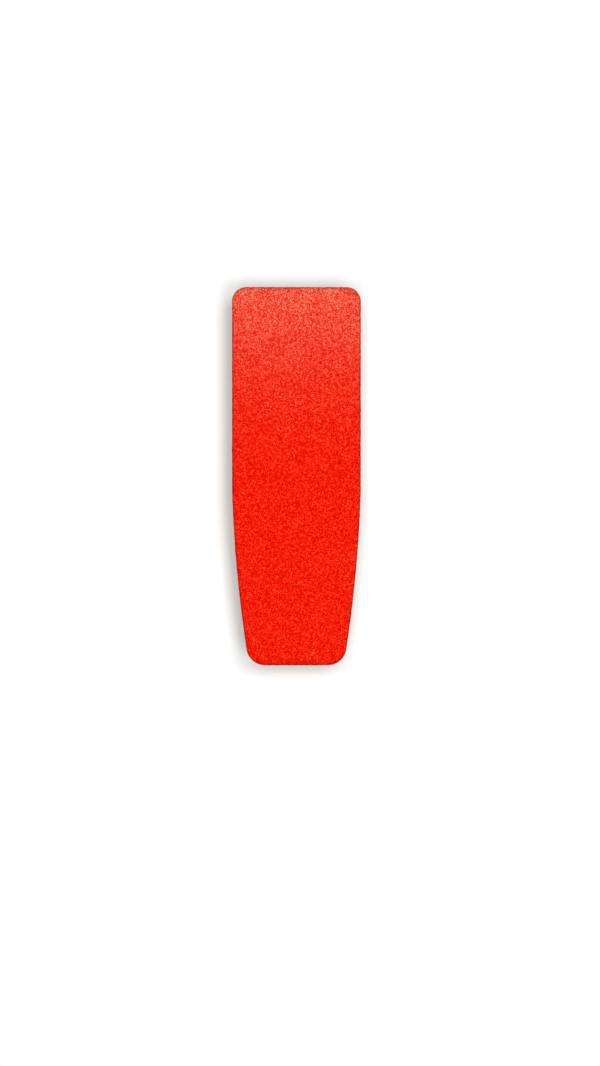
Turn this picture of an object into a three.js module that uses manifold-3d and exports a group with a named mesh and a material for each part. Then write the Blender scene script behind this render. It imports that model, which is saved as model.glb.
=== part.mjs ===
// A one-foot wooden rocker board: a solid wooden body with a boat-shaped underside,
// and a red non-slip covering with a dark rubber backing, glued onto its flat top.
//
// Millimetres, +Z up. X runs along the board, from the wide toe end (-X) to the narrow
// heel end (+X), and Y across it. The origin is on the floor, under the middle of the board.

import * as THREE from 'three';
import { LoftGeometry } from 'three/addons/geometries/LoftGeometry.js';
import { mergeVertices } from 'three/addons/utils/BufferGeometryUtils.js';
import Module from 'manifold-3d';

// Plan outline of the covering, which is the largest layer.
const LENGTH = 320;
const WIDTH = 109;
const STRAIGHT_LENGTH = 172; // from the wide end to where the sides start to draw in
const NARROW_END_WIDTH = 80; // across the narrow end, before its corners are rounded
const TAPER_BEND_X = 79.5; // where the tangents of the two ends of the taper cross
const TAPER_BEND_WIDTH = 105;
const WIDE_CORNER_RADIUS = 12;
const NARROW_CORNER_RADIUS = 16;

// Layers, from the floor up. Each rests on the one before.
const WOOD_THICKNESS = 27;
const ADHESIVE_THICKNESS = 0.25;
const BACKING_THICKNESS = 1.5;
const COVERING_THICKNESS = 3;

// How far each layer stays inside the covering's outline.
const WOOD_INSET = 0.8;
const ADHESIVE_INSET = 1.5;
const BACKING_INSET = 0.3;

// Underside of the body, as heights above the floor.
const FLAT_WIDTH = 44; // across the flat strip that the board stands on
// Heights of the lower edge at the two ends are on the centre line.
const WIDE_TIP_HEIGHT = 20.8;
const NARROW_TIP_HEIGHT = 20;
const WIDE_END_LEAN = 1.7; // how far the wide end's face leans inwards towards its lower edge
// The keel line has four soft corners. reach is how far each one's curve extends both ways.
const KEEL_CORNERS = [
  { x: -157.5, z: 17.1, reach: 3.5 },
  { x: -81.5, z: 0, reach: 9 },
  { x: 46, z: 0, reach: 43.5 },
  { x: 152, z: 13.8, reach: 9 },
];

// Depth of the body's side faces below its top, at the full width.
const SIDE_DEPTH_WIDE_END = 5.4;
const SIDE_DEPTH_DEEPEST = 9.3;
const SIDE_DEPTH_NARROW_END = 1.8;
const SIDE_DEEPEST_X = 5;
const SIDE_FALL_TO_WIDE_END = 2; // exponents of the two falls
const SIDE_FALL_TO_NARROW_END = 1.2;

// Fineness of the curves.
const ARC_STEPS = 10;
const KEEL_STEPS = 72;
const FLANK_STEPS = 12;

const BLANK_MARGIN = 1; // by which the shaped blank is larger than the body cut from it

const wasm = await Module();
wasm.setup();

// Closed geometry as a manifold-3d solid.
function solidOf(geometry) {
  const bare = new THREE.BufferGeometry();
  bare.setAttribute('position', geometry.getAttribute('position'));
  bare.setIndex(geometry.index);
  const merged = mergeVertices(bare);
  return new wasm.Manifold(new wasm.Mesh({
    numProp: 3,
    vertProperties: merged.attributes.position.array,
    triVerts: new Uint32Array(merged.index.array),
  }));
}

function geometryOf(solid) {
  const mesh = solid.getMesh();
  const geometry = new THREE.BufferGeometry();
  geometry.setAttribute('position', new THREE.BufferAttribute(mesh.vertProperties, 3));
  geometry.setIndex(new THREE.BufferAttribute(mesh.triVerts, 1));
  geometry.computeVertexNormals();
  return geometry;
}

// Plan outline, moved inwards by inset: a straight-sided wide half, sides that draw in
// along a smooth curve, and a narrower end, all with round corners.
function boardOutline(inset) {
  const wideX = -LENGTH / 2 + inset;
  const narrowX = LENGTH / 2 - inset;
  const side = WIDTH / 2 - inset;
  const wideRadius = WIDE_CORNER_RADIUS - inset;
  const narrowRadius = NARROW_CORNER_RADIUS - inset;

  const bend = new THREE.Vector2(TAPER_BEND_X, TAPER_BEND_WIDTH / 2 - inset);
  const end = new THREE.Vector2(narrowX, NARROW_END_WIDTH / 2 - inset);
  const angle = Math.atan2(bend.y - end.y, end.x - bend.x);
  const cornerX = narrowX - narrowRadius;
  const arcStartX = cornerX + narrowRadius * Math.sin(angle);
  const arcStartY = end.y + Math.tan(angle) * (narrowX - arcStartX);
  const cornerY = arcStartY - narrowRadius * Math.cos(angle);

  const half = new THREE.Path();
  half.moveTo(wideX, 0);
  half.absarc(wideX + wideRadius, side - wideRadius, wideRadius, Math.PI, Math.PI / 2, true);
  half.lineTo(-LENGTH / 2 + STRAIGHT_LENGTH, side);
  half.quadraticCurveTo(bend.x, bend.y, arcStartX, arcStartY);
  half.absarc(cornerX, cornerY, narrowRadius, Math.PI / 2 - angle, 0, true);
  half.lineTo(narrowX, 0);

  const points = half.getPoints(ARC_STEPS);
  const mirrored = points.slice(1, -1).reverse().map((p) => new THREE.Vector2(p.x, -p.y));
  return new THREE.Shape([...points, ...mirrored]);
}

function flatLayer(inset, thickness) {
  return new THREE.ExtrudeGeometry(boardOutline(inset), { depth: thickness, bevelEnabled: false });
}

// The keel line in the XZ plane: a steep rise to the wide end, the flat that the board
// stands on, and a long gentle rise to the narrow end.
function keelLine() {
  const corners = KEEL_CORNERS.map((c) => new THREE.Vector2(c.x, c.z));
  const start = new THREE.Vector2(-LENGTH / 2, WIDE_TIP_HEIGHT);
  const end = new THREE.Vector2(LENGTH / 2, NARROW_TIP_HEIGHT);
  const stops = [start, ...corners, end];
  const towards = (from, to, distance) => from.clone().add(
    to.clone().sub(from).setLength(distance));

  const keel = new THREE.Path();
  keel.moveTo(start.x, start.y);
  KEEL_CORNERS.forEach(({ reach }, i) => {
    const [before, corner, after] = stops.slice(i, i + 3);
    const curveStart = towards(corner, before, reach);
    const curveEnd = towards(corner, after, reach);
    keel.lineTo(curveStart.x, curveStart.y);
    keel.quadraticCurveTo(corner.x, corner.y, curveEnd.x, curveEnd.y);
  });
  keel.lineTo(end.x, end.y);
  return keel;
}

// How deep the body's side face would be at x if the board kept its full width there.
function sideDepth(x) {
  const half = LENGTH / 2;
  const toWide = Math.max(0, SIDE_DEEPEST_X - x) / (half + SIDE_DEEPEST_X);
  const toNarrow = Math.max(0, x - SIDE_DEEPEST_X) / (half - SIDE_DEEPEST_X);
  return SIDE_DEPTH_DEEPEST
    - (SIDE_DEPTH_DEEPEST - SIDE_DEPTH_WIDE_END) * toWide ** SIDE_FALL_TO_WIDE_END
    - (SIDE_DEPTH_DEEPEST - SIDE_DEPTH_NARROW_END) * toNarrow ** SIDE_FALL_TO_NARROW_END;
}

// One cross-section of the blank: flat in the middle, with a flank on each side that
// curves up to the side face as a parabola.
function crossSection(x, keelHeight) {
  const flat = FLAT_WIDTH / 2;
  const reach = WIDTH / 2 - flat;
  const outer = WIDTH / 2 + BLANK_MARGIN;
  const top = WOOD_THICKNESS + BLANK_MARGIN;
  const rise = WOOD_THICKNESS - sideDepth(x) - keelHeight;
  const place = (y, z) => new THREE.Vector3(x, y, z);

  const flank = [];
  for (let i = 0; i <= FLANK_STEPS; i++) {
    const y = flat + (outer - flat) * (i / FLANK_STEPS);
    flank.push([y, keelHeight + rise * ((y - flat) / reach) ** 2]);
  }
  return [
    place(outer, top),
    place(-outer, top),
    ...flank.toReversed().map(([y, z]) => place(-y, z)),
    ...flank.map(([y, z]) => place(y, z)),
  ];
}

// The blank with the boat-shaped underside, a little larger than the body except at the
// wide end, where its leaning face is the body's own.
function shapedBlank() {
  const sections = keelLine().getSpacedPoints(KEEL_STEPS).map((p) => crossSection(p.x, p.y));
  const lean = WIDE_END_LEAN / (WOOD_THICKNESS - WIDE_TIP_HEIGHT);
  for (const point of sections[0]) {
    point.x = -LENGTH / 2 + WOOD_INSET + lean * (WOOD_THICKNESS - point.z);
  }
  return new LoftGeometry(sections, { capStart: true, capEnd: true });
}

// The body is what the plank, cut to the plan outline, and the shaped blank have in common.
function bodyGeometry() {
  const plank = solidOf(flatLayer(WOOD_INSET, WOOD_THICKNESS));
  return geometryOf(plank.intersect(solidOf(shapedBlank())));
}

function piece(name, geometry, bottom, look) {
  const mesh = new THREE.Mesh(geometry, new THREE.MeshStandardMaterial({ metalness: 0, ...look }));
  mesh.name = name;
  mesh.position.z = bottom;
  return mesh;
}

const adhesiveBottom = WOOD_THICKNESS;
const backingBottom = adhesiveBottom + ADHESIVE_THICKNESS;
const coveringBottom = backingBottom + BACKING_THICKNESS;

const board = new THREE.Group();
board.add(
  piece('wooden_body', bodyGeometry(), 0, { color: '#ead9c2', roughness: 0.55 }),
  piece('adhesive_film', flatLayer(ADHESIVE_INSET, ADHESIVE_THICKNESS), adhesiveBottom,
    { color: '#cbb583', roughness: 0.4 }),
  piece('rubber_backing', flatLayer(BACKING_INSET, BACKING_THICKNESS), backingBottom,
    { color: '#2b1813', roughness: 0.85 }),
  piece('grip_covering', flatLayer(0, COVERING_THICKNESS), coveringBottom,
    { color: '#e3170d', roughness: 0.95 }),
);

export default board;
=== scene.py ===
"""A one-foot wooden balance board: the looks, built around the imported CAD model."""

import math

import bpy
import numpy as np
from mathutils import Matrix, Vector


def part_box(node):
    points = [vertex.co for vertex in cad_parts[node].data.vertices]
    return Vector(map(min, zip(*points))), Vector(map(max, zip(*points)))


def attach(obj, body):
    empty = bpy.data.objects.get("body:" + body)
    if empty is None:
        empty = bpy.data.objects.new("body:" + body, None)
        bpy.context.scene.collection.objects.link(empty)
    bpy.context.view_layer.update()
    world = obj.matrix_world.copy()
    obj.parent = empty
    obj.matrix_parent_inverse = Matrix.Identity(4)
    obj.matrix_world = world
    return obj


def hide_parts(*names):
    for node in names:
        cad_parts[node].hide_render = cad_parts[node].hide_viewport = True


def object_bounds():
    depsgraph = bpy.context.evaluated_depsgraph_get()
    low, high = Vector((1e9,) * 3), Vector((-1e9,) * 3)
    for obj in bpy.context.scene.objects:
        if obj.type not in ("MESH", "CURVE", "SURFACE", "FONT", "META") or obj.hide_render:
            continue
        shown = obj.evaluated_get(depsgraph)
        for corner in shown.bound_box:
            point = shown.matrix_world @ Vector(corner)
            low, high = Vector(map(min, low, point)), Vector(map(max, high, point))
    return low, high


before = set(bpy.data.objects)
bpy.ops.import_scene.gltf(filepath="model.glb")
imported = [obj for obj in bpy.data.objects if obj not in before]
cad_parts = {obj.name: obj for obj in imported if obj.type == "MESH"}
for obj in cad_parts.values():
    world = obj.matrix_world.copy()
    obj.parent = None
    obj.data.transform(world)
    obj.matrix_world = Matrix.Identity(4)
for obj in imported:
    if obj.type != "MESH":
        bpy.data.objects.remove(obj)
cad_low, cad_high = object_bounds()

MM = 0.001

# Felt covering.
FELT_SPACING = 0.65 * MM      # between the mesh's points
FELT_EDGE_RADIUS = 1.8 * MM   # of its cut upper edge
TUFTS = ((1.3 * MM, 0.55), (2.0 * MM, 0.55), (3.3 * MM, 0.45), (6.0 * MM, 0.40))  # sizes, shares
TUFT_HEIGHT = 0.18 * MM
LUMP_SIZE = 9 * MM            # of the slow rise and fall of the felt
LUMP_HEIGHT = 0.07 * MM
DEEPEST_GAP = 0.7 * MM        # the pile's relief is held between these two
HIGHEST_TUFT = 0.4 * MM
FELT_SETTLED = 0.20 * MM      # by which the pile lies below the CAD layer's top

# Where the covering turns down over the narrow end.
DROOP_LENGTH = 4.5 * MM
DROOP_DEPTH = 2.4 * MM

SHEEN_TO_X = 20 * MM        # from the wide end to here a painted sheen, a highlight, lightens the pile

BACKING_SPACING = 1.6 * MM
BACKING_EDGE_RADIUS = 0.2 * MM

# Both layers.
ROW_CROWDING = 0.4 * math.pi  # how much closer together the rows of points lie at the sides
CUT_WOBBLE = 0.12 * MM        # how far the hand-cut edges stray
CUT_WOBBLE_SIZE = 5 * MM
CUT_WOBBLE_DEPTH = 12 * MM    # how far in from the edge the straying fades out

# Random fields.
FIELD_MARGIN = 8 * MM         # by which they reach past the board
POINTS_PER_WAVE = 6
WAVE_SPREAD = 0.45            # how far their waves' lengths stray from the one asked for
FELT_SEED = 11
BACKING_SEED = 12

# Wooden body.
WOOD_VOXEL = 0.5 * MM
WOOD_SMOOTHING = 2
RING_SPACING = 5.2 * MM       # of the growth rings
HEART_Y = 12 * MM             # where the rings' middle lies, under the board
HEART_DEPTH = 50 * MM
HEART_SLOPE = 0.10            # how much deeper it lies for each metre towards the narrow end
RING_SWAY = 34 * MM           # how far the rings wander
# The underside's brown and its painted shade depend on how far in from the side a point lies. Half
# the board's width falls from the first to the second of these, over the stretch of x on the next
# line.
UNDERSIDE_HALF_WIDTH = (53.7 * MM, 43.7 * MM)
UNDERSIDE_TAPER = (12 * MM, 144 * MM)
# Redder patch on the underside. The zeros leave height out of it.
STREAK_PLACE = (-92 * MM, -50 * MM, 0)
STREAK_SCALE = (1 / (26 * MM), 1 / (13 * MM), 0)

# Camera: straight down, with the board's wide end up in the picture.
VIEW_HEIGHT = 900 * MM        # from the top to the bottom of the picture, at the felt
VIEW_MIDDLE_X = 47.9 * MM     # where the picture's middle lies on the felt
VIEW_MIDDLE_Y = 3 * MM
LENS = 85
SENSOR = 36

# Lights above. Each has how far it drifts in x and in y for each metre that it falls, the angle
# that it fills, in degrees, and its share of the power.
OVERHEAD = (
    (0.29, -0.33, 25, 0.305),
    (-0.29, -0.33, 25, 0.305),
    (0.29, 0.15, 23, 0.195),
    (-0.29, 0.15, 23, 0.195),
)
OVERHEAD_POWER = 1.18 * math.pi

# Lights that stand for what the surroundings throw back up: place, size and watts. They shine from
# below the floor's level, so they reach the board's sides and underside and not the floor.
FILLS = {
    "front_fill": ((0.0, -1.6, -0.4), (1.8, 0.5), 13),
    "back_fill": ((0.0, 1.6, -0.4), (1.8, 0.5), 9),
    "heel_fill": ((1.7, 0.0, -0.4), (1.2, 0.5), 6),
    "toe_fill": ((-1.7, 0.0, -0.4), (1.2, 0.5), 6),
}

SURROUNDINGS_LIGHT = 0.20     # how brightly the white surroundings light the board
SURROUNDINGS_SEEN = 1.0       # and how bright they look

FLOOR_HALF = 4.0              # half the floor's side
FLOOR_GAP = 0.05 * MM         # keeps the floor out of the face that rests on it


# ---------------------------------------------------------------- random fields

def noise_field(rng, wavelength):
    """Smooth random values over the board, mostly at one wavelength, as a function of x and y."""
    spacing = wavelength / POINTS_PER_WAVE
    size = cad_high - cad_low
    columns = int((size.x + 2 * FIELD_MARGIN) / spacing) + 2
    rows = int((size.y + 2 * FIELD_MARGIN) / spacing) + 2
    frequency = np.hypot(np.fft.fftfreq(rows, spacing)[:, None], np.fft.rfftfreq(columns, spacing))
    band = np.exp(-((frequency * wavelength - 1) ** 2) / (2 * WAVE_SPREAD ** 2))
    white = np.fft.rfft2(rng.standard_normal((rows, columns)))
    values = np.fft.irfft2(white * band, s=(rows, columns))
    values /= values.std()

    def at(x, y):
        column = (x - cad_low.x + FIELD_MARGIN) / spacing
        row = (y - cad_low.y + FIELD_MARGIN) / spacing
        i = np.clip(column.astype(int), 0, columns - 2)
        j = np.clip(row.astype(int), 0, rows - 2)
        u = np.clip(column - i, 0, 1)
        v = np.clip(row - j, 0, 1)
        low = values[j, i] * (1 - u) + values[j, i + 1] * u
        high = values[j + 1, i] * (1 - u) + values[j + 1, i + 1] * u
        return low * (1 - v) + high * v

    return at


# ---------------------------------------------------------------- layers on the top

def right_side(node, spacing):
    """The outline of a flat CAD layer on the +Y side, as points spacing apart."""
    co = np.array([v.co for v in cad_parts[node].data.vertices])
    side = np.unique(np.round(co[co[:, 1] > MM][:, :2], 7), axis=0)
    step = np.hypot(*np.diff(side, axis=0).T)
    along = np.concatenate([[0], np.cumsum(step)])
    stops = np.linspace(0, along[-1], int(along[-1] / spacing) + 1)
    return np.interp(stops, along, side[:, 0]), np.interp(stops, along, side[:, 1])


def outward(loop):
    """Unit vectors that point out of a closed loop of points, one at each point."""
    step = np.roll(loop, -1, axis=0) - loop
    step /= np.linalg.norm(step, axis=1)[:, None]
    along = step + np.roll(step, 1, axis=0)
    along /= np.linalg.norm(along, axis=1)[:, None]
    out = np.column_stack([along[:, 1], -along[:, 0]])
    return out * np.sign(np.sum(out * (loop - loop.mean(axis=0))))


def droop(x):
    """How far the covering turns down at x."""
    past = np.clip((x - (cad_high.x - DROOP_LENGTH)) / DROOP_LENGTH, 0, 1)
    return DROOP_DEPTH * past ** 2


def closed_layer(name, node, spacing, thickness, edge_radius, relief):
    """A closed sheet with the outline of a flat CAD layer, and a rounded upper edge.

    relief(x, y) raises its surface. On the edge, x and y run on as if the edge were laid out flat,
    and the points' places laid out like that are returned too. The point value "edge" says how far
    round the edge a point lies.
    """
    low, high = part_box(node)
    side = np.column_stack(right_side(node, spacing))
    both = np.concatenate([side, side[::-1] * (1, -1)])
    side = side - outward(both)[:len(side)] * edge_radius
    columns = len(side)
    rows = int(2 * side[:, 1].max() / spacing)
    share = np.sin(np.linspace(-1, 1, rows) * ROW_CROWDING) / math.sin(ROW_CROWDING)
    flat = np.column_stack([np.repeat(side[:, 0], rows), (side[:, 1:] * share).ravel()])

    grid = np.arange(columns * rows).reshape(columns, rows)
    rim = np.concatenate([grid[:-1, 0], grid[-1, :-1], grid[:0:-1, -1], grid[0, :0:-1]])
    out = outward(flat[rim])
    top = high.z
    points = [np.column_stack([flat, top + relief(*flat.T)])]
    laid_out = [flat]
    edge = [np.zeros(len(flat))]

    # The edge goes down in rings of points: round a quarter turn, and then straight down.
    turns = max(1, round(edge_radius * math.pi / 2 / spacing))
    drop = thickness - edge_radius
    falls = max(1, round(drop / spacing))
    steps = [(math.pi / 2 * (i + 1) / turns, 0.0) for i in range(turns)]
    steps += [(math.pi / 2, drop * (i + 1) / falls) for i in range(falls)]
    for angle, fall in steps:
        reach = edge_radius * angle + fall
        laid_out.append(flat[rim] + out * reach)
        raised = relief(*laid_out[-1].T) * (1 - fall / drop)
        sideways = (edge_radius + raised) * math.sin(angle)
        height = top - edge_radius + (edge_radius + raised) * math.cos(angle) - fall
        points.append(np.column_stack([flat[rim] + out * sideways[:, None], height]))
        edge.append(np.full(len(rim), reach))
    points.append(np.column_stack([flat, np.full(len(flat), top - thickness)]))
    laid_out.append(flat)
    edge.append(np.full(len(flat), edge[-1][0]))

    corners = [grid[:-1, :-1], grid[1:, :-1], grid[1:, 1:], grid[:-1, 1:]]
    quads = np.stack(corners, axis=-1).reshape(-1, 4)
    under = len(flat) + len(rim) * len(steps)
    faces = [quads, quads[:, ::-1] + under]
    rings = [len(flat) + len(rim) * k + np.arange(len(rim)) for k in range(len(steps))]
    rings = [rim, *rings, rim + under]
    for above, below in zip(rings, rings[1:]):
        faces.append(np.column_stack([below, np.roll(below, -1), np.roll(above, -1), above]))

    points = np.concatenate(points)
    points[:, 2] -= droop(points[:, 0])
    mesh = bpy.data.meshes.new(name)
    mesh.from_pydata(points.tolist(), [], np.concatenate(faces).tolist())
    mesh.polygons.foreach_set("use_smooth", np.ones(len(mesh.polygons), bool))
    piece = bpy.data.objects.new(name, mesh)
    bpy.context.scene.collection.objects.link(piece)
    point_values(piece, "edge", np.concatenate(edge))
    return piece, np.concatenate(laid_out).T


def point_values(piece, name, values):
    attribute = piece.data.attributes.new(name, "FLOAT", "POINT")
    attribute.data.foreach_set("value", values.astype(np.float32))


def wobble(piece, rng, low, high):
    """Moves a piece's cut edge in by a little, here more and there less."""
    cut = noise_field(rng, CUT_WOBBLE_SIZE)
    co = np.array([v.co for v in piece.data.vertices])
    centre = np.array([0.5 * (low.x + high.x), 0.5 * (low.y + high.y)])
    reach = np.abs(co[:, :2] - centre)
    shift = CUT_WOBBLE * np.clip(1 + 0.5 * cut(co[:, 0], co[:, 1]), 0, 2)
    near_side = np.clip(1 - (high.y - centre[1] - reach[:, 1]) / CUT_WOBBLE_DEPTH, 0, 1)
    near_end = np.clip(1 - (high.x - centre[0] - reach[:, 0]) / CUT_WOBBLE_DEPTH, 0, 1)
    co[:, 1] -= np.sign(co[:, 1]) * shift * near_side
    co[:, 0] -= np.sign(co[:, 0]) * shift * near_end
    piece.data.vertices.foreach_set("co", co.astype(np.float32).ravel())


def felt_covering():
    low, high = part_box("grip_covering")
    rng = np.random.default_rng(FELT_SEED)
    tufts = [(share, noise_field(rng, size)) for size, share in TUFTS]
    lump = noise_field(rng, LUMP_SIZE)

    def pile(x, y):
        return sum(share * tuft(x, y) for share, tuft in tufts)

    def relief(x, y):
        height = TUFT_HEIGHT * pile(x, y) + LUMP_HEIGHT * lump(x, y)
        return np.clip(height, -DEEPEST_GAP, HIGHEST_TUFT) - FELT_SETTLED

    piece, laid_out = closed_layer("red_felt", "grip_covering", FELT_SPACING, high.z - low.z,
                                   FELT_EDGE_RADIUS, relief)
    point_values(piece, "tuft", pile(*laid_out))
    wobble(piece, rng, low, high)
    return piece


def dark_backing():
    low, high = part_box("rubber_backing")
    piece, _ = closed_layer("dark_backing", "rubber_backing", BACKING_SPACING, high.z - low.z,
                            BACKING_EDGE_RADIUS, lambda x, y: 0 * x)
    wobble(piece, np.random.default_rng(BACKING_SEED), low, high)
    return piece


# ---------------------------------------------------------------- wooden body

def ease_edges(body):
    """Takes the sharpness off the wooden body's edges, as sanding does, and keeps the CAD mesh."""
    remesh = body.modifiers.new("even_mesh", "REMESH")
    remesh.mode = "VOXEL"
    remesh.voxel_size = WOOD_VOXEL
    remesh.use_smooth_shade = True
    smooth = body.modifiers.new("eased_edges", "SMOOTH")
    smooth.factor = 0.5
    smooth.iterations = WOOD_SMOOTHING


# ---------------------------------------------------------------- materials

class Look:
    """A material's node tree, written as plain calls."""

    def __init__(self, name):
        self.material = bpy.data.materials.new(name)
        self.material.use_nodes = True
        self.tree = self.material.node_tree
        self.tree.nodes.clear()
        self.shader = self.tree.nodes.new("ShaderNodeBsdfPrincipled")
        output = self.tree.nodes.new("ShaderNodeOutputMaterial")
        self.tree.links.new(self.shader.outputs["BSDF"], output.inputs["Surface"])

    def put(self, socket, value):
        if isinstance(value, bpy.types.NodeSocket):
            self.tree.links.new(value, socket)
        else:
            socket.default_value = value

    def node(self, kind, output=0, inputs=None, **settings):
        made = self.tree.nodes.new("ShaderNode" + kind)
        for key, value in settings.items():
            setattr(made, key, value)
        for key, value in (inputs or {}).items():
            self.put(made.inputs[key], value)
        return made.outputs[output]

    def place(self):
        """A point's place on the board, in metres."""
        return self.node("TexCoord", "Object")

    def parts(self, vector):
        """The x, y and z of a vector."""
        made = self.tree.nodes.new("ShaderNodeSeparateXYZ")
        self.put(made.inputs[0], vector)
        return made.outputs

    def scaled(self, vector, factors):
        return self.node("VectorMath", inputs={0: vector, 1: factors}, operation="MULTIPLY")

    def maths(self, operation, a, b=0.0, c=0.0):
        return self.node("Math", inputs={0: a, 1: b, 2: c}, operation=operation)

    def noise(self, vector, scale, detail=2.0, roughness=0.5, distortion=0.0):
        return self.node("TexNoise", "Fac", inputs={
            "Vector": vector, "Scale": scale, "Detail": detail,
            "Roughness": roughness, "Distortion": distortion})

    def ramp(self, value, low, high, to_low=0.0, to_high=1.0):
        """value from low..high to to_low..to_high, held at both ends."""
        return self.node("MapRange", inputs={
            "Value": value, "From Min": low, "From Max": high,
            "To Min": to_low, "To Max": to_high})

    def mix(self, share, a, b):
        """Colour a where share is 0, and colour b where it is 1."""
        made = self.tree.nodes.new("ShaderNodeMix")
        made.data_type = "RGBA"
        for key, value in ((0, share), (6, a), (7, b)):
            self.put(made.inputs[key], value)
        return made.outputs[2]

    def bump(self, height, distance, strength):
        return self.node("Bump", inputs={
            "Height": height, "Distance": distance, "Strength": strength})

    def finish(self, **sockets):
        for name, value in sockets.items():
            self.put(self.shader.inputs[name.replace("_", " ")], value)
        return self.material


def colour(red, green, blue):
    return (red, green, blue, 1.0)


def felt_look():
    look = Look("red_needle_felt")
    place = look.place()
    along = look.parts(place)["X"]
    facing_up = look.parts(look.node("TexCoord", "Normal"))["Z"]

    tuft = look.node("Attribute", "Fac", attribute_name="tuft")
    edge = look.node("Attribute", "Fac", attribute_name="edge")
    grain = look.noise(place, 1300, detail=3, roughness=0.6)
    clump = look.noise(place, 620, detail=1, roughness=0.6)

    # Random specks, and tufts paler than the gaps between them, where the gaps' darkness is
    # painted shade. A few pale tips of fibre.
    speck_and_gap_shade = look.maths("MULTIPLY", tuft, 0.5)
    speck_and_gap_shade = look.maths("MULTIPLY_ADD", look.maths("SUBTRACT", grain, 0.5), 14.0, speck_and_gap_shade)
    speck_and_gap_shade = look.maths("MULTIPLY_ADD", look.maths("SUBTRACT", clump, 0.5), 6.0, speck_and_gap_shade)
    pale = look.ramp(speck_and_gap_shade, -1.7, 1.5)

    # Painted sheen: a highlight painted into the pile's colour, lighter towards the wide end, in
    # clouds, and only where the pile faces up, so not on the cut edge.
    painted_sheen = look.maths("POWER", look.ramp(along, SHEEN_TO_X, cad_low.x), 2.7)
    cloud = look.noise(place, 60, detail=2)
    painted_sheen = look.maths("MULTIPLY", painted_sheen, look.ramp(cloud, 0.35, 0.65, 0.85, 1.15))
    painted_sheen = look.maths("MULTIPLY", painted_sheen, look.ramp(facing_up, 0.5, 0.95))
    dark = look.mix(painted_sheen, colour(0.56, 0.001, 0.0003), colour(0.56, 0.010, 0.005))
    plain = look.mix(painted_sheen, colour(0.84, 0.0030, 0.0003), colour(0.84, 0.067, 0.032))
    light = look.mix(painted_sheen, colour(0.87, 0.029, 0.004), colour(0.88, 0.208, 0.120))
    tone = look.mix(pale, dark, plain)
    tone = look.mix(look.maths("POWER", pale, 3.0), tone, light)
    tip = look.mix(painted_sheen, colour(0.92, 0.150, 0.070), colour(0.92, 0.400, 0.290))
    tone = look.mix(look.ramp(speck_and_gap_shade, 1.2, 3.0, 0.0, 0.5), tone, tip)

    # Painted shade: the tufts' flanks, which face away from the light above, are painted deeper
    # red, and so is the cut edge.
    painted_flank_shade = look.maths("MULTIPLY", look.ramp(facing_up, 0.86, 0.985, 0.72, 1.0),
                       look.ramp(edge, 0.0, 2.0 * MM, 1.0, 0.86))
    tone = look.node("VectorMath", inputs={0: tone, "Scale": painted_flank_shade}, operation="SCALE")

    # Painted shade on the cut edge: dark in the gaps between the fibres, and darkest at its foot.
    edge_gap_shade = look.maths("MULTIPLY", look.ramp(edge, 0.4 * MM, 1.8 * MM),
                      look.ramp(speck_and_gap_shade, 1.0, -1.5, 0.0, 0.3))
    cut = look.maths("MAXIMUM", edge_gap_shade, look.ramp(edge, 2.4 * MM, 4.0 * MM, 0.0, 0.9))
    tone = look.mix(cut, tone, colour(0.15, 0.008, 0.005))

    fibres = look.noise(place, 5200, detail=3, roughness=0.7, distortion=1.2)
    height = look.maths("MULTIPLY_ADD", fibres, 0.5, grain)
    return look.finish(
        Base_Color=tone,
        Roughness=look.ramp(grain, 0.3, 0.7, 0.85, 1.0),
        Specular_IOR_Level=0.015,
        Sheen_Weight=0.04,
        Sheen_Roughness=0.5,
        Sheen_Tint=colour(1.0, 0.08, 0.05),
        Normal=look.bump(height, 0.35 * MM, 0.7),
    )


def backing_look():
    look = Look("dark_rubber_backing")
    place = look.place()
    crumbs = look.noise(place, 900, detail=3, roughness=0.65)
    tone = look.mix(look.ramp(crumbs, 0.35, 0.7),
                    colour(0.060, 0.011, 0.006), colour(0.130, 0.028, 0.016))
    return look.finish(
        Base_Color=tone,
        Roughness=look.ramp(crumbs, 0.3, 0.7, 0.75, 0.95),
        Specular_IOR_Level=0.15,
        Normal=look.bump(crumbs, 0.25 * MM, 0.7),
    )


def adhesive_look():
    look = Look("amber_glue")
    place = look.place()
    streaks = look.noise(look.scaled(place, (0.3, 1, 1)), 260, detail=3)
    tone = look.mix(streaks, colour(0.62, 0.42, 0.16), colour(0.78, 0.62, 0.34))
    return look.finish(
        Base_Color=tone,
        Roughness=look.ramp(streaks, 0.3, 0.7, 0.25, 0.5),
        Normal=look.bump(streaks, 0.05 * MM, 0.5),
    )


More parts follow.
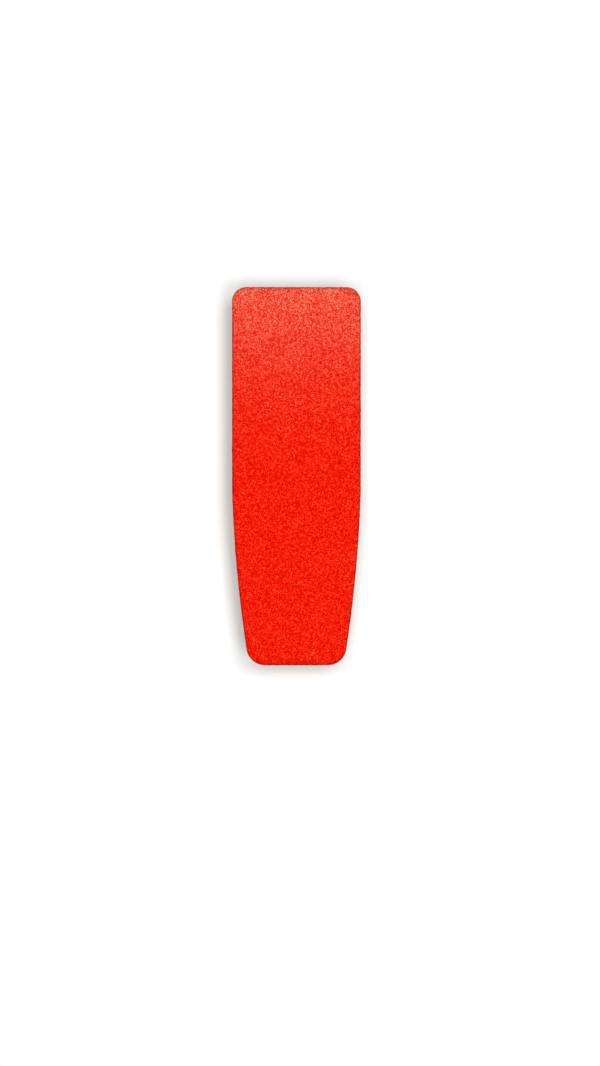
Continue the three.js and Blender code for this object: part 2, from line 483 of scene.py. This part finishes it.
def wood_look():
    look = Look("pale_wood")
    place = look.place()
    x, y, z = look.parts(place)
    normal_x, _, normal_z = look.parts(look.node("TexCoord", "Normal"))

    # Growth rings: shells round a heart that lies under the board, a little askew to its length.
    # The late wood of each ring is darker.
    wander = look.noise(look.scaled(place, (0.22, 1, 1)), 14, detail=3, roughness=0.55)
    sway = look.maths("MULTIPLY", look.maths("SUBTRACT", wander, 0.5), RING_SWAY)
    across = look.maths("ADD", look.maths("SUBTRACT", y, HEART_Y), sway)
    up = look.maths("ADD", look.maths("ADD", z, HEART_DEPTH), sway)
    up = look.maths("MULTIPLY_ADD", x, HEART_SLOPE, up)
    from_heart = look.maths("SQRT", look.maths("ADD", look.maths("MULTIPLY", across, across),
                                               look.maths("MULTIPLY", up, up)))
    ring = look.maths("FRACT", look.maths("MULTIPLY", from_heart, 1 / RING_SPACING))
    late = look.maths("MULTIPLY", look.ramp(ring, 0.35, 0.93), look.ramp(ring, 1.0, 0.93))

    fibre = look.noise(look.scaled(place, (0.035, 1, 1)), 950, detail=4, roughness=0.65)
    figure = look.noise(look.scaled(place, (0.14, 1, 1)), 70, detail=4, roughness=0.55,
                        distortion=0.4)
    pores = look.noise(look.scaled(place, (0.05, 1, 1)), 2300, detail=1)
    warm = look.noise(look.scaled(place, (0.5, 1, 1)), 22, detail=2)
    mottle = look.noise(look.scaled(place, (0.4, 1, 1)), 900, detail=4, roughness=0.75)

    # The sawn sides are pale.
    pale = look.mix(look.ramp(figure, 0.38, 0.62),
                    colour(0.90, 0.83, 0.74), colour(0.80, 0.66, 0.52))
    pale = look.mix(look.maths("MULTIPLY", late, 0.8), pale, colour(0.68, 0.47, 0.30))
    pale = look.mix(look.ramp(warm, 0.50, 0.68, 0.0, 0.5), pale, colour(0.80, 0.63, 0.46))
    pale = look.mix(look.ramp(fibre, 0.42, 0.75, 0.0, 0.4), pale, colour(0.63, 0.45, 0.29))

    # The shaped underside is browner, partly its own colour and partly painted shade, darkest just
    # under the sides.
    taper = look.maths("POWER", look.ramp(x, *UNDERSIDE_TAPER), 2.0)
    half_width = look.ramp(taper, 0.0, 1.0, *UNDERSIDE_HALF_WIDTH)
    from_side = look.maths("SUBTRACT", half_width, look.maths("ABSOLUTE", y))
    brown_and_shade = look.mix(look.ramp(figure, 0.38, 0.62),
                     colour(0.46, 0.35, 0.25), colour(0.36, 0.25, 0.16))
    brown_and_shade = look.mix(look.ramp(warm, 0.45, 0.62, 0.0, 0.5), brown_and_shade, colour(0.40, 0.25, 0.14))
    # Painted shade just under the sides, where the side's edge shades the underside.
    near_side = look.ramp(from_side, 9 * MM, 1.5 * MM, 0.0, 0.85)
    brown_and_shade = look.mix(near_side, brown_and_shade, colour(0.205, 0.100, 0.046))
    # Painted light further in, as if thrown back up from the floor.
    bounce_light_share = look.ramp(from_side, 3 * MM, 12 * MM, 0.0, 0.55)
    brown_and_shade = look.mix(bounce_light_share, brown_and_shade, colour(0.60, 0.48, 0.365))
    brown_and_shade = look.mix(look.maths("MULTIPLY", late, 0.5), brown_and_shade, colour(0.25, 0.145, 0.078))
    brown_and_shade = look.mix(look.ramp(fibre, 0.42, 0.75, 0.0, 0.35), brown_and_shade, colour(0.26, 0.17, 0.10))
    brown_and_shade = look.mix(look.ramp(mottle, 0.50, 0.66, 0.0, 0.2), brown_and_shade, colour(0.60, 0.50, 0.39))
    brown_and_shade = look.mix(look.ramp(mottle, 0.46, 0.34, 0.0, 0.25), brown_and_shade, colour(0.17, 0.10, 0.06))
    streak = look.node("VectorMath", inputs={0: place, 1: STREAK_PLACE}, operation="SUBTRACT")
    streak = look.scaled(streak, STREAK_SCALE)
    from_streak = look.node("VectorMath", "Value", {0: streak}, operation="LENGTH")
    from_streak = look.maths("MULTIPLY_ADD", look.maths("SUBTRACT", figure, 0.5), 1.5, from_streak)
    brown_and_shade = look.mix(look.ramp(from_streak, 1.0, 0.3, 0.0, 0.7), brown_and_shade, colour(0.30, 0.125, 0.045))

    # What faces down gets the underside's brown and painted shade. Pores are dark on both.
    tone = look.mix(look.ramp(normal_z, -0.30, -0.42), pale, brown_and_shade)
    tone = look.mix(look.ramp(pores, 0.66, 0.78, 0.0, 0.5), tone, colour(0.26, 0.15, 0.08))

    # The end grain drinks more lacquer and is darker, and the floor rubs what rests on it.
    end_grain = look.ramp(look.maths("ABSOLUTE", normal_x), 0.3, 0.95)
    tone = look.mix(look.maths("MULTIPLY", end_grain, 0.35), tone, colour(0.55, 0.39, 0.25))
    scuff = look.noise(look.scaled(place, (1, 0.35, 1)), 120, detail=5, roughness=0.7)
    rubbed = look.maths("MULTIPLY", look.ramp(z, 1.2 * MM, 0.0), look.ramp(scuff, 0.45, 0.62))
    tone = look.mix(look.maths("MULTIPLY", rubbed, 0.5), tone, colour(0.55, 0.44, 0.33))

    height = look.maths("ADD", look.maths("MULTIPLY", fibre, 0.7),
                        look.maths("MULTIPLY", pores, -0.5))
    height = look.maths("SUBTRACT", height, look.maths("MULTIPLY", late, 0.25))
    return look.finish(
        Base_Color=tone,
        Roughness=look.ramp(fibre, 0.3, 0.75, 0.40, 0.60),
        Coat_Weight=0.2,
        Coat_Roughness=0.35,
        Normal=look.bump(height, 0.12 * MM, 0.45),
    )


def floor_look():
    look = Look("pale_floor")
    soft = look.noise(look.place(), 3, detail=2)
    return look.finish(
        Base_Color=look.mix(soft, colour(0.782, 0.782, 0.782), colour(0.797, 0.797, 0.797)),
        Roughness=0.9,
        Specular_IOR_Level=0.2,
    )


def dress(piece, material):
    piece.data.materials.clear()
    piece.data.materials.append(material)


# ---------------------------------------------------------------- camera, lights, floor

def make_camera():
    data = bpy.data.cameras.new("camera")
    data.lens = LENS
    data.sensor_width = SENSOR
    camera = bpy.data.objects.new("camera", data)
    bpy.context.scene.collection.objects.link(camera)
    bpy.context.scene.camera = camera
    camera.location = (VIEW_MIDDLE_X, VIEW_MIDDLE_Y, cad_high.z + VIEW_HEIGHT * LENS / SENSOR)
    camera.rotation_euler = (0, 0, math.pi / 2)  # picture up is -X, picture right is +Y


def fill_light(name, place, size, power, target):
    """A soft light that fills the shade and draws no shadow of its own."""
    data = bpy.data.lights.new(name, "AREA")
    data.use_shadow = False
    data.shape = "RECTANGLE"
    data.size, data.size_y = size
    data.energy = power
    light = bpy.data.objects.new(name, data)
    light.location = place
    light.rotation_euler = (Vector(target) - Vector(place)).to_track_quat("-Z", "Y").to_euler()
    bpy.context.scene.collection.objects.link(light)


def make_studio():
    # Soft lights a little to four sides of straight above. Their shadows lie close all round.
    for number, (drift_x, drift_y, angle, share) in enumerate(OVERHEAD, 1):
        data = bpy.data.lights.new(f"overhead_{number}", "SUN")
        data.angle = math.radians(angle)
        data.energy = OVERHEAD_POWER * share
        sun = bpy.data.objects.new(f"overhead_{number}", data)
        sun.rotation_euler = Vector((drift_x, drift_y, -1)).to_track_quat("-Z", "Y").to_euler()
        bpy.context.scene.collection.objects.link(sun)

    for name, (place, size, power) in FILLS.items():
        fill_light(name, place, size, power, (cad_low + cad_high) / 2)

    # White all round, which the camera sees brighter than it lights the board.
    world = bpy.data.worlds.new("studio")
    bpy.context.scene.world = world
    world.use_nodes = True
    nodes, links = world.node_tree.nodes, world.node_tree.links
    lighting = nodes["Background"]
    lighting.inputs["Color"].default_value = (1, 1, 1, 1)
    lighting.inputs["Strength"].default_value = SURROUNDINGS_LIGHT
    backdrop = nodes.new("ShaderNodeBackground")
    backdrop.inputs["Color"].default_value = (1, 1, 1, 1)
    backdrop.inputs["Strength"].default_value = SURROUNDINGS_SEEN
    choice = nodes.new("ShaderNodeMixShader")
    links.new(nodes.new("ShaderNodeLightPath").outputs["Is Camera Ray"], choice.inputs[0])
    links.new(lighting.outputs[0], choice.inputs[1])
    links.new(backdrop.outputs[0], choice.inputs[2])
    links.new(choice.outputs[0], nodes["World Output"].inputs["Surface"])
    bpy.context.scene.view_settings.view_transform = "Standard"

    corners = [(x * FLOOR_HALF, y * FLOOR_HALF, -FLOOR_GAP)
               for x, y in ((-1, -1), (1, -1), (1, 1), (-1, 1))]
    mesh = bpy.data.meshes.new("floor")
    mesh.from_pydata(corners, [], [(0, 1, 2, 3)])
    floor = bpy.data.objects.new("floor", mesh)
    bpy.context.scene.collection.objects.link(floor)
    dress(floor, floor_look())


# ---------------------------------------------------------------- the scene

make_camera()
make_studio()

felt = felt_covering()
dress(felt, felt_look())
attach(felt, "root")
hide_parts("grip_covering")

backing = dark_backing()
dress(backing, backing_look())
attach(backing, "root")
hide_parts("rubber_backing")

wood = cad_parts["wooden_body"]
ease_edges(wood)
dress(wood, wood_look())
dress(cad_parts["adhesive_film"], adhesive_look())
